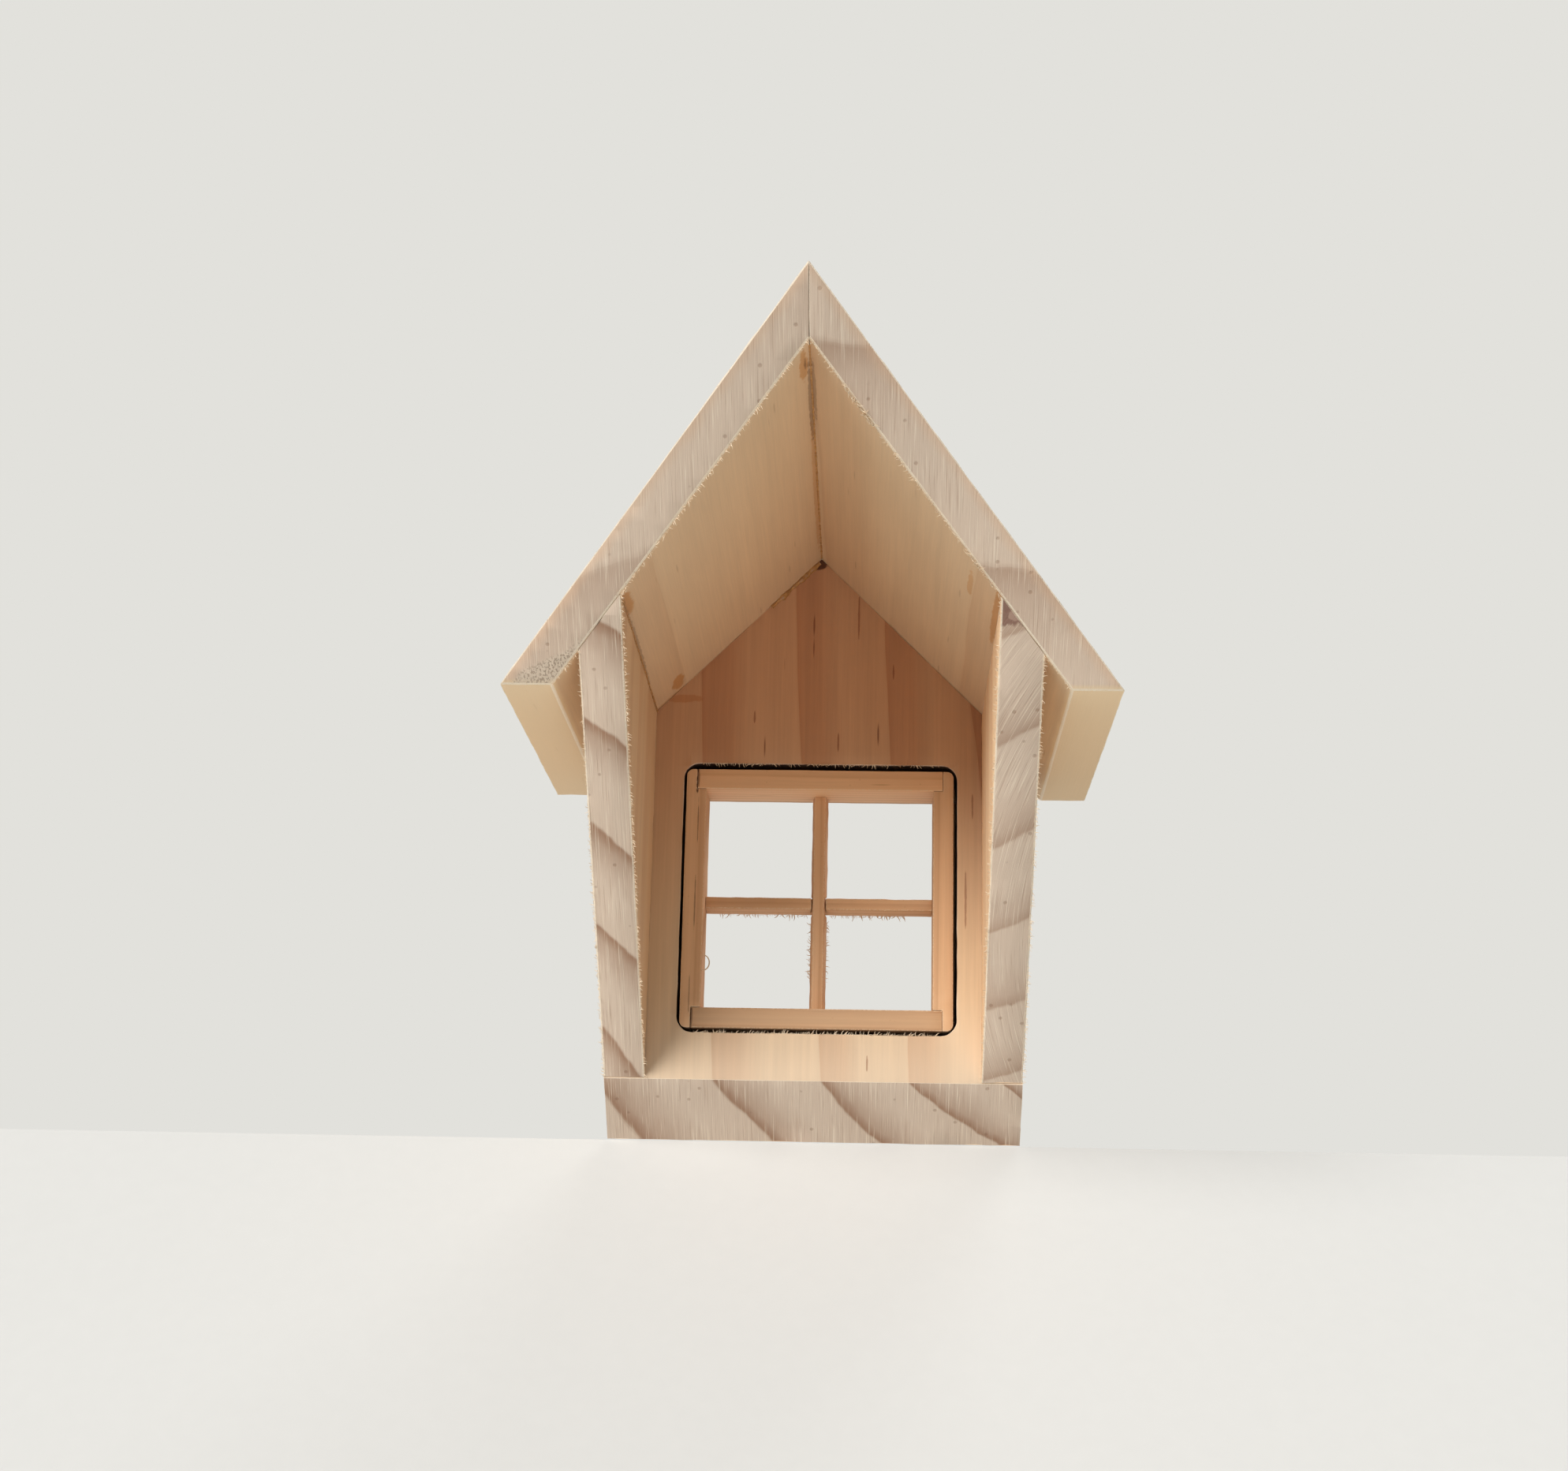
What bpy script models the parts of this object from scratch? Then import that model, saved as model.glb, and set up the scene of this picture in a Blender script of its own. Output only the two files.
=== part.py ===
"""Gable dormer for a 1:12 dollhouse roof, in bare pine, with a push-in four-light window.

Metres, +Z up. The dormer stands as it does on the house: +Y points out through the window,
-Y into the open back, and -X is the left side seen from the back. The origin is the middle
of the front wall's slanted foot, on the 45 degree plane that sits on the house roof.
"""
import math

import bmesh
import bpy
from mathutils import Vector

# ---- driving dimensions -------------------------------------------------------------------
GAP = 0.0003               # clearance kept between pieces that touch or are glued

OUTSIDE_WIDTH = 0.0968     # over the side walls, 3-13/16 in
FRONT_THICKNESS = 0.0127   # 1/2 in pine
SIDE_THICKNESS = 0.0095    # 3/8 in pine
ROOF_THICKNESS = 0.0079    # 5/16 in pine
ROOF_PITCH = math.radians(45)
SEAT_SLOPE = math.radians(45)
RIDGE_Z = 0.1452           # top of the ridge above the origin
EAVE_Z = 0.0795            # level underside of both eaves
FRONT_OVERHANG = 0.0111    # roof boards past the front wall, 7/16 in

OPENING_X = 0.0006         # the opening is sawn a little to the right of the middle
OPENING_WIDTH = 0.0652
OPENING_HEIGHT = 0.0647
OPENING_BOTTOM_Z = 0.0173
OPENING_CORNER_RADIUS = 0.0038
CORNER_STEPS = 8           # facets in each rounded corner

WINDOW_X = 0.0005          # middle of the push-in window
WINDOW_Z = 0.04948
WINDOW_WIDTH = 0.0637
WINDOW_HEIGHT = 0.06215
FRAME_MEMBER = 0.0048      # face width of jambs, header and sill, 3/16 in
JAMB_EAR = 0.00255         # outer part of a jamb that runs past the header and the sill
FRAME_CORNER_RADIUS = 0.0016

MUNTIN_FACE = 0.00275      # narrow face, towards the room
MUNTIN_BASE = 0.0039       # wide face, towards the street
MUNTIN_DEPTH = 0.0048
MUNTIN_SETBACK = 0.0072    # from the frame's room side to the muntins' narrow face

CASING_WIDTH = 0.0095
CASING_THICKNESS = 0.0032
HEAD_CASING_THICKNESS = 0.0040
CASING_REVEAL = 0.0008     # casing stands back this far from the frame's inner edge
HEAD_CASING_EAR = 0.0016   # head casing past the side casings, each end
SILL_HEIGHT = 0.00635
SILL_PROJECTION = 0.00635
SILL_EAR = 0.0032          # outer sill past the side casings, each end
SILL_DROP = 0.0011         # the outer sill's top falls this much towards the street

# ---- sizes worked out from them -----------------------------------------------------------
HALF_WIDTH = OUTSIDE_WIDTH / 2
HALF_FRONT = FRONT_THICKNESS / 2
INNER_RIDGE_Z = RIDGE_Z - ROOF_THICKNESS / math.cos(ROOF_PITCH)
ROOF_CLEARANCE = GAP / math.cos(ROOF_PITCH)
ROOF_FRONT_Y = HALF_FRONT + FRONT_OVERHANG
BEHIND_EVERYTHING_Y = -0.2

HALF_WINDOW = WINDOW_WIDTH / 2
HALF_WINDOW_HEIGHT = WINDOW_HEIGHT / 2
CLEAR_HALF_WIDTH = HALF_WINDOW - FRAME_MEMBER
CLEAR_HALF_HEIGHT = HALF_WINDOW_HEIGHT - FRAME_MEMBER
MUNTIN_NEAR_Y = -HALF_FRONT + MUNTIN_SETBACK
MUNTIN_FAR_Y = MUNTIN_NEAR_Y + MUNTIN_DEPTH
CASING_BACK_Y = HALF_FRONT + GAP
CASING_INNER_X = CLEAR_HALF_WIDTH + CASING_REVEAL
CASING_OUTER_X = CASING_INNER_X + CASING_WIDTH
HEAD_CASING_Z = CLEAR_HALF_HEIGHT + CASING_REVEAL
SILL_TOP_Z = -CLEAR_HALF_HEIGHT - CASING_REVEAL
CUTTER_MARGIN = 0.001      # how far a cutter runs past what it cuts


def clear_scene():
    for thing in list(bpy.data.objects):
        bpy.data.objects.remove(thing, do_unlink=True)


def wood(name, colour, roughness):
    """A bare wood finish."""
    material = bpy.data.materials.new(name)
    material.use_nodes = True
    shader = material.node_tree.nodes["Principled BSDF"]
    shader.inputs["Base Color"].default_value = (*colour, 1.0)
    shader.inputs["Roughness"].default_value = roughness
    shader.inputs["Metallic"].default_value = 0.0
    return material


def add_object(name, bm, material=None, parent=None):
    """Turns a bmesh into a named object in the scene."""
    bmesh.ops.recalc_face_normals(bm, faces=bm.faces)
    mesh = bpy.data.meshes.new(name)
    bm.to_mesh(mesh)
    bm.free()
    thing = bpy.data.objects.new(name, mesh)
    bpy.context.scene.collection.objects.link(thing)
    if material:
        mesh.materials.append(material)
    if parent:
        thing.parent = parent
    return thing


def extruded(outline, direction):
    """A closed solid: the outline's points, in order, extruded along direction."""
    bm = bmesh.new()
    face = bm.faces.new([bm.verts.new(point) for point in outline])
    side = bmesh.ops.extrude_face_region(bm, geom=[face])
    moved = [item for item in side["geom"] if isinstance(item, bmesh.types.BMVert)]
    bmesh.ops.translate(bm, verts=moved, vec=direction)
    return bm


def upright_board(profile, y_start, y_end):
    """A board whose end profile, in X and Z, is carried along Y."""
    outline = [(x, y_start, z) for x, z in profile]
    return extruded(outline, (0, y_end - y_start, 0))


def box(low, high):
    """A rectangular stick between two corners."""
    profile = [(low[0], low[2]), (high[0], low[2]), (high[0], high[2]), (low[0], high[2])]
    return upright_board(profile, low[1], high[1])


def arc(centre, radius, start, end, steps=CORNER_STEPS):
    """Points on a circle from one angle to another, in degrees."""
    for step in range(steps + 1):
        angle = math.radians(start + (end - start) * step / steps)
        yield centre[0] + radius * math.cos(angle), centre[1] + radius * math.sin(angle)


def saw_at_seat(bm):
    """Saws off what lies below the slanted plane that sits on the house roof."""
    outward = Vector((0, -math.sin(SEAT_SLOPE), -math.cos(SEAT_SLOPE)))
    everything = bm.verts[:] + bm.edges[:] + bm.faces[:]
    bmesh.ops.bisect_plane(
        bm, geom=everything, plane_co=(0, 0, 0), plane_no=outward, clear_outer=True
    )
    bmesh.ops.holes_fill(bm, edges=[edge for edge in bm.edges if edge.is_boundary])


def under_roof(x):
    """Height of a wall's top at x, just clear of the roof boards' underside."""
    return INNER_RIDGE_Z - abs(x) * math.tan(ROOF_PITCH) - ROOF_CLEARANCE


def cut(thing, cutter):
    """Takes the cutter's shape out of a piece, and hides the cutter."""
    modifier = thing.modifiers.new(cutter.name, "BOOLEAN")
    modifier.operation = "DIFFERENCE"
    modifier.solver = "EXACT"
    modifier.object = cutter
    cutter.hide_render = True
    cutter.display_type = "WIRE"


def front_wall(material):
    """House-shaped front board, full width, with a routed window opening."""
    below = -HALF_FRONT - CUTTER_MARGIN
    profile = [
        (-HALF_WIDTH, below),
        (HALF_WIDTH, below),
        (HALF_WIDTH, under_roof(HALF_WIDTH)),
        (0, under_roof(0)),
        (-HALF_WIDTH, under_roof(HALF_WIDTH)),
    ]
    bm = upright_board(profile, -HALF_FRONT, HALF_FRONT)
    saw_at_seat(bm)
    wall = add_object("front_wall", bm, material)
    cut(wall, opening_cutter())


def opening_cutter():
    """Rounded square that a router leaves in the front wall."""
    x = OPENING_WIDTH / 2 - OPENING_CORNER_RADIUS
    z = OPENING_HEIGHT / 2 - OPENING_CORNER_RADIUS
    centre_z = OPENING_BOTTOM_Z + OPENING_HEIGHT / 2
    profile = []
    for turn, (side, level) in enumerate([(1, 1), (-1, 1), (-1, -1), (1, -1)]):
        centre = (OPENING_X + side * x, centre_z + level * z)
        profile += arc(centre, OPENING_CORNER_RADIUS, 90 * turn, 90 * turn + 90)
    depth = HALF_FRONT + CUTTER_MARGIN
    return add_object("opening_cutter", upright_board(profile, -depth, depth))


def side_wall(name, side, material):
    """Side board glued to the back of the front wall, bevelled under the roof."""
    inner = side * (HALF_WIDTH - SIDE_THICKNESS)
    outer = side * HALF_WIDTH
    profile = [(inner, 0), (outer, 0), (outer, under_roof(outer)), (inner, under_roof(inner))]
    bm = upright_board(profile, -HALF_FRONT - GAP, BEHIND_EVERYTHING_Y)
    saw_at_seat(bm)
    add_object(name, bm, material)


def roof_board(name, side, material):
    """Roof board, mitred at the ridge and sawn level at the eave."""
    ridge = side * GAP / 2
    slope = math.tan(ROOF_PITCH)
    profile = [
        (ridge, RIDGE_Z - abs(ridge) * slope),
        (ridge, INNER_RIDGE_Z - abs(ridge) * slope),
        (side * (INNER_RIDGE_Z - EAVE_Z) / slope, EAVE_Z),
        (side * (RIDGE_Z - EAVE_Z) / slope, EAVE_Z),
    ]
    bm = upright_board(profile, ROOF_FRONT_Y, BEHIND_EVERYTHING_Y)
    saw_at_seat(bm)
    add_object(name, bm, material)


def window_jamb(name, side, material, parent):
    """Upright of the window, notched at both ends for the header and the sill."""
    r = FRAME_CORNER_RADIUS
    ear = HALF_WINDOW - JAMB_EAR
    top = HALF_WINDOW_HEIGHT
    shoulder = top - FRAME_MEMBER - GAP
    centre_x = HALF_WINDOW - r
    right_half = [(CLEAR_HALF_WIDTH, -shoulder), (ear, -shoulder), (ear, -top)]
    right_half += arc((centre_x, r - top), r, -90, 0)
    right_half += arc((centre_x, top - r), r, 0, 90)
    right_half += [(ear, top), (ear, shoulder), (CLEAR_HALF_WIDTH, shoulder)]
    profile = [(side * x, z) for x, z in right_half]
    add_object(name, upright_board(profile, -HALF_FRONT, HALF_FRONT), material, parent)


def window_crosspiece(name, level, material, parent):
    """Header or sill of the window, let into the jambs' notches."""
    end = HALF_WINDOW - JAMB_EAR - GAP
    z = sorted([level * CLEAR_HALF_HEIGHT, level * HALF_WINDOW_HEIGHT])
    bm = box((-end, -HALF_FRONT, z[0]), (end, HALF_FRONT, z[1]))
    add_object(name, bm, material, parent)


def muntin_half(y):
    """Half the width of a muntin at depth y: it widens towards the street."""
    share = (y - MUNTIN_NEAR_Y) / MUNTIN_DEPTH
    return (MUNTIN_FACE + (MUNTIN_BASE - MUNTIN_FACE) * share) / 2


def muntin_stick(y_near, y_far, reach, upright, extra=0.0):
    """Tapered bar through the window's middle, upright or level, reach to each side."""
    near = muntin_half(y_near) + extra
    far = muntin_half(y_far) + extra
    section = [(-near, y_near), (near, y_near), (far, y_far), (-far, y_far)]
    if upright:
        return extruded([(a, y, -reach) for a, y in section], (0, 0, 2 * reach))
    return extruded([(-reach, y, a) for a, y in section], (2 * reach, 0, 0))


def muntins(upright_wood, level_wood, parent):
    """The two bars, half-lapped where they cross."""
    middle = (MUNTIN_NEAR_Y + MUNTIN_FAR_Y) / 2
    near, far = MUNTIN_NEAR_Y - CUTTER_MARGIN, MUNTIN_FAR_Y + CUTTER_MARGIN
    bars = {
        "vertical_muntin": (True, CLEAR_HALF_HEIGHT - GAP, middle - GAP / 2, far, upright_wood),
        "horizontal_muntin": (False, CLEAR_HALF_WIDTH - GAP, near, middle + GAP / 2, level_wood),
    }
    for name, (upright, reach, lap_near, lap_far, material) in bars.items():
        stick = muntin_stick(MUNTIN_NEAR_Y, MUNTIN_FAR_Y, reach, upright)
        bar = add_object(name, stick, material, parent)
        lap = muntin_stick(lap_near, lap_far, MUNTIN_BASE, not upright, GAP)
        cut(bar, add_object(name + "_lap_cutter", lap, parent=parent))


def side_casing(name, side, material, parent):
    """Flat trim that covers the gap beside the window, out on the street side."""
    x = sorted([side * CASING_INNER_X, side * CASING_OUTER_X])
    front = CASING_BACK_Y + CASING_THICKNESS
    low = (x[0], CASING_BACK_Y, SILL_TOP_Z + GAP)
    high = (x[1], front, HEAD_CASING_Z - GAP)
    add_object(name, box(low, high), material, parent)


def head_casing(material, parent):
    """Trim over the window, a little thicker and longer than the side casings."""
    half = CASING_OUTER_X + HEAD_CASING_EAR
    front = CASING_BACK_Y + HEAD_CASING_THICKNESS
    top = HEAD_CASING_Z + CASING_WIDTH
    bm = box((-half, CASING_BACK_Y, HEAD_CASING_Z), (half, front, top))
    add_object("head_casing", bm, material, parent)


def outer_sill(material, parent):
    """Sill under the casings, its top falling towards the street."""
    half = CASING_OUTER_X + SILL_EAR
    back, step = CASING_BACK_Y, CASING_BACK_Y + CASING_THICKNESS
    front = CASING_BACK_Y + SILL_PROJECTION
    bottom = SILL_TOP_Z - SILL_HEIGHT
    section = [
        (back, bottom),
        (front, bottom),
        (front, SILL_TOP_Z - SILL_DROP),
        (step, SILL_TOP_Z),
        (back, SILL_TOP_Z),
    ]
    bm = extruded([(-half, y, z) for y, z in section], (2 * half, 0, 0))
    add_object("outer_sill", bm, material, parent)


def window(parent):
    """The whole push-in window, around its own middle."""
    frame_colour = (0.60, 0.41, 0.26)
    window_jamb("window_left_jamb", -1, wood("left jamb wood", frame_colour, 0.6), parent)
    window_jamb("window_right_jamb", 1, wood("right jamb wood", frame_colour, 0.6), parent)
    window_crosspiece("window_header", 1, wood("header wood", frame_colour, 0.6), parent)
    window_crosspiece("window_sill", -1, wood("sill wood", frame_colour, 0.6), parent)
    bar_colour = (0.56, 0.37, 0.23)
    upright_wood = wood("upright muntin wood", bar_colour, 0.62)
    muntins(upright_wood, wood("level muntin wood", bar_colour, 0.62), parent)
    trim_colour = (0.62, 0.44, 0.28)
    side_casing("left_casing", -1, wood("left casing wood", trim_colour, 0.6), parent)
    side_casing("right_casing", 1, wood("right casing wood", trim_colour, 0.6), parent)
    head_casing(wood("head casing wood", trim_colour, 0.6), parent)
    outer_sill(wood("outer sill wood", trim_colour, 0.6), parent)


def main():
    clear_scene()
    front_wall(wood("front wall pine", (0.62, 0.42, 0.26), 0.65))
    side_wall("left_side_wall", -1, wood("left side pine", (0.64, 0.46, 0.32), 0.65))
    side_wall("right_side_wall", 1, wood("right side pine", (0.64, 0.46, 0.32), 0.65))
    roof_board("left_roof_board", -1, wood("left roof pine", (0.67, 0.50, 0.34), 0.65))
    roof_board("right_roof_board", 1, wood("right roof pine", (0.67, 0.50, 0.34), 0.65))
    slide = bpy.data.objects.new("window_slide", None)
    slide.location = (WINDOW_X, 0, WINDOW_Z)
    slide.empty_display_size = HALF_WINDOW
    bpy.context.scene.collection.objects.link(slide)
    window(slide)


main()
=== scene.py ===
"""Looks of the bare pine dollhouse dormer: dressed boards, window, glue and fibres.

Metres, +Z up, +Y out through the window, -Y into the open back, -X the left side seen from the
back. Every board is a copy of its CAD solid with worked edges; the materials are procedural.
"""
import math
from dataclasses import dataclass
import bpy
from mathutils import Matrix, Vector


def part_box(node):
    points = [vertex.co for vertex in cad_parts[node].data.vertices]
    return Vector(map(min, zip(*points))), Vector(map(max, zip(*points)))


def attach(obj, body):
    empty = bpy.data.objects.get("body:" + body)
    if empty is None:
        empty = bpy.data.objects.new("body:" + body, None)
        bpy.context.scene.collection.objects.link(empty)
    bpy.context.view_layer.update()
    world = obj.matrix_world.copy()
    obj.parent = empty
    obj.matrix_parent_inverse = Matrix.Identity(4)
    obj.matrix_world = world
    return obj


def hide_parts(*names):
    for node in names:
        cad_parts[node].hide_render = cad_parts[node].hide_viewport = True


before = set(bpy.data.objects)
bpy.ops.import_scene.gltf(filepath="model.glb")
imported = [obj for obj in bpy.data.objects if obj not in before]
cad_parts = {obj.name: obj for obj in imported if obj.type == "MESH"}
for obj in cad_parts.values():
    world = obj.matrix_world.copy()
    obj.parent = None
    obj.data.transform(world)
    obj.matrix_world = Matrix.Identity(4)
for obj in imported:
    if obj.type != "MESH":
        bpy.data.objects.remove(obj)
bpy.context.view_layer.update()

from types import SimpleNamespace

import bmesh
import bpy
from bpy.props import FloatProperty, FloatVectorProperty, IntProperty, PointerProperty
from mathutils import Matrix, Vector, noise

bl_info = {
    "name": "Dollhouse dormer looks",
    "version": (1, 0, 0),
    "blender": (4, 5, 0),
    "location": "View3D > Sidebar > Dormer",
    "description": "Dresses the boards of a bare pine dollhouse dormer and sets its stage",
    "category": "Object",
}

SQUARE = math.sqrt(0.5)

# Places read from the frame: the boards' boxes give every joint and edge used below.
WALL_LOW, WALL_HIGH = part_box("front_wall")
SIDE_LOW, SIDE_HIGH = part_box("left_side_wall")
ROOF_LOW, ROOF_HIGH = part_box("left_roof_board")
HEADER_LOW, HEADER_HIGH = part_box("window_header")
SILL_LOW, SILL_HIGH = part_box("window_sill")
JAMB_LOW, JAMB_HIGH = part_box("window_left_jamb")
FRAME_LOW, FRAME_HIGH = JAMB_LOW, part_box("window_right_jamb")[1]
BAR_LOW, BAR_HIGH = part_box("horizontal_muntin")
POST_LOW, POST_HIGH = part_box("vertical_muntin")
INSIDE_Y = WALL_LOW.y
INSIDE_X = -SIDE_HIGH.x
RIDGE_Z = ROOF_HIGH.z
EAVE_X, EAVE_Z = -ROOF_LOW.x, ROOF_LOW.z
GABLE_Z = WALL_HIGH.z
SEAT_NORMAL = Vector((0, -SQUARE, -SQUARE))

# How far a glued face grows to close its joint. One seam at the window's left stays open.
GLUE_LINE = 0.0002
RIDGE_LINE = 0.0001
STICK_LINE = 0.00025
NOTCH_LINE = 0.00026
OPEN_SEAM = 0.00014


def tint(red, green, blue):
    """A colour given as 0 to 255 display values, as the linear values that shaders use."""
    def linear(value):
        value /= 255
        return value / 12.92 if value <= 0.04045 else ((value + 0.055) / 1.055) ** 2.4
    return linear(red), linear(green), linear(blue)


# Stains, painted light and painted shade that belong to one place each, so no setting changes them.
AMBER = tint(232, 194, 140)
BURNT = tint(96, 58, 36)
BROWN = tint(166, 116, 84)
# Painted glow: warm light through the outer rim of the roof's sawn ends.
RIM_PAINTED_GLOW = tint(226, 186, 150)
TORN_PALE = tint(230, 212, 188)
TORN_DARK = tint(164, 134, 108)
# Painted shade: the redder, darker room side high in the gable, under the roof.
GABLE_PAINTED_SHADE = tint(233, 205, 190)
# Painted light: the paler foot of the front wall's room side, where the light falls.
FOOT_PAINTED_LIGHT = tint(226, 208, 186)
# Painted shade: the dark faces of the opening, in the narrow gap round the window frame.
OPENING_PAINTED_SHADE = tint(44, 28, 20)
RESIN_PATCH = tint(132, 92, 76)
RESIN_HEART = tint(190, 156, 136)
STICK_FUZZ = tint(232, 204, 168)
PALE_GLUE = tint(196, 146, 86)
FIBRE_SHADE = tint(222, 190, 148)


def colour_of(name, description, red, green, blue):
    return FloatVectorProperty(
        name=name, description=description, subtype="COLOR", size=3, min=0, max=1,
        default=tint(red, green, blue),
    )


def number_of(name, description, value, **kind):
    return FloatProperty(name=name, description=description, default=value, **kind)


def length_of(name, description, metres):
    return number_of(name, description, metres, unit="LENGTH")


def angle_of(name, description, degrees):
    return number_of(name, description, math.radians(degrees), subtype="ANGLE")


# ---- what a user would change -------------------------------------------------------------

class DormerPine(bpy.types.PropertyGroup):
    """Colours, ring size and worn edges of the five pine boards."""

    early: colour_of("Earlywood", "Pale wood between the rings, long grain", 229, 197, 158)
    late: colour_of("Latewood", "Dark part of each ring, long grain", 196, 143, 99)
    end_pale: colour_of("End grain", "Pale wood where the saw crossed the grain", 222, 200, 178)
    end_dark: colour_of("End grain rings", "Ring lines on sawn ends", 166, 128, 101)
    fuzz: colour_of("Broken fibre", "Light, torn fibres along the edges", 251, 236, 212)
    sapwood: colour_of("Sapwood", "Pale yellow wood at the eaves", 244, 216, 174)
    resin: colour_of("Resin", "Short resin streaks", 128, 82, 48)
    ring_scale: number_of("Ring scale", "Size of the rings", 1.0)
    edge_width: length_of("Edge wear", "Width of the worn strip along each edge", 0.00040)
    edge_wobble: length_of("Edge wobble", "How far an edge wanders in and out", 0.00012)
    joint_width: length_of("Joint edge", "Width of the edge where two boards meet", 0.00006)
    cut_step: length_of("Edge step", "Distance between the points along an edge", 0.0035)


class DormerWindowWood(bpy.types.PropertyGroup):
    """Colours, line size and eased edges of the window's sticks."""

    early: colour_of("Wood", "Plain fine-grained wood", 214, 171, 129)
    late: colour_of("Grain line", "Darker grain lines", 184, 134, 92)
    end_pale: colour_of("End grain", "Ends of the sticks", 200, 168, 136)
    ring_scale: number_of("Grain scale", "Size of the lines", 1.0)
    edge_width: length_of("Edge wear", "Width of the frame's eased edges", 0.00022)
    bar_edge: length_of("Bar edge wear", "Width of the bars' eased edges", 0.00030)
    trim_edge: length_of("Trim edge wear", "Width of the trim's eased edges", 0.00040)


class DormerGlue(bpy.types.PropertyGroup):
    """Dried glue that was squeezed out of the joints."""

    colour: colour_of("Glue", "Dried amber glue", 168, 118, 66)
    bead: length_of("Bead", "Radius of the glue bead in a corner", 0.00042)


class DormerFibres(bpy.types.PropertyGroup):
    """Loose fibres left by saw and router."""

    length: length_of("Length", "Mean length of a loose fibre", 0.00062)
    radius: length_of("Radius", "Radius of a loose fibre at its root", 0.000080)
    spacing: length_of("Spacing", "Distance between fibres along an edge", 0.00026)
    seed: IntProperty(name="Seed", description="Chooses where the fibres stand", default=4)


class DormerStage(bpy.types.PropertyGroup):
    """Floor, light and camera."""

    floor: colour_of("Floor", "Pale floor", 209, 208, 204)
    backdrop: colour_of("Backdrop", "Pale room behind", 226, 225, 220)
    ambient: number_of("Room light", "Light from all around", 0.18)
    key: number_of("Key light", "Soft light from overhead", 3.75)
    fill: number_of("Fill light", "Soft light at the back", 0.6)
    front: number_of("Street light", "Soft light on the window side", 1.7)
    lens: number_of("Lens", "Focal length on a 36 mm sensor", 54.89, unit="CAMERA")
    eye: FloatVectorProperty(
        name="Eye", description="Where the camera stands", default=(0.01398, -0.55961, -0.06253),
        subtype="XYZ", unit="LENGTH",
    )
    yaw: angle_of("Yaw", "Camera turned to its left", 2.31)
    pitch: angle_of("Pitch", "Camera tilted up", 15.31)
    roll: angle_of("Roll", "Camera's right side raised", 1.25)


# ---- nodes --------------------------------------------------------------------------------

class Wire:
    """A node's output socket. Arithmetic on it adds Math nodes to its tree."""

    def __init__(self, graph, socket):
        self.graph = graph
        self.socket = socket

    def math(self, operation, *others):
        return self.graph.add("ShaderNodeMath", {"operation": operation}, (self, *others))

    def __add__(self, other):
        return self.math("ADD", other)

    __radd__ = __add__

    def __mul__(self, other):
        return self.math("MULTIPLY", other)

    __rmul__ = __mul__

    def __sub__(self, other):
        return self.math("SUBTRACT", other)

    def __rsub__(self, other):
        return self.graph.add("ShaderNodeMath", {"operation": "SUBTRACT"}, (other, self))

    def __truediv__(self, other):
        return self.math("DIVIDE", other)

    def root(self):
        return self.math("SQRT")

    def step(self, low, high):
        """0 up to low, 1 from high, and a smooth rise between them."""
        sockets = {"Value": self, "From Min": low, "From Max": high}
        return self.graph.add("ShaderNodeMapRange", {"interpolation_type": "SMOOTHSTEP"}, sockets)


class Graph:
    """Adds nodes to a tree, and gives back a wire for each."""

    def __init__(self, tree):
        self.tree = tree

    def add(self, kind, settings=None, sockets=(), output=0):
        """Adds a node: its settings first, then a value or a wire for each socket."""
        node = self.tree.nodes.new(kind)
        for key, value in (settings or {}).items():
            if key == "stops":
                self.set_stops(node.color_ramp, value)
            else:
                setattr(node, key, value)
        pairs = sockets.items() if isinstance(sockets, dict) else enumerate(sockets)
        for key, value in pairs:
            self.connect(value, node.inputs[key])
        return Wire(self, node.outputs[output])

    def connect(self, value, socket):
        if isinstance(value, Wire):
            self.tree.links.new(value.socket, socket)
        else:
            socket.default_value = value

    def set_stops(self, ramp, stops):
        """Gives a ramp its (position, grey) stops."""
        while len(ramp.elements) < len(stops):
            ramp.elements.new(1.0)
        for element, (place, grey) in zip(ramp.elements, stops):
            element.position = place
            element.color = (grey, grey, grey, 1.0)


# ---- materials ----------------------------------------------------------------------------

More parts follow.
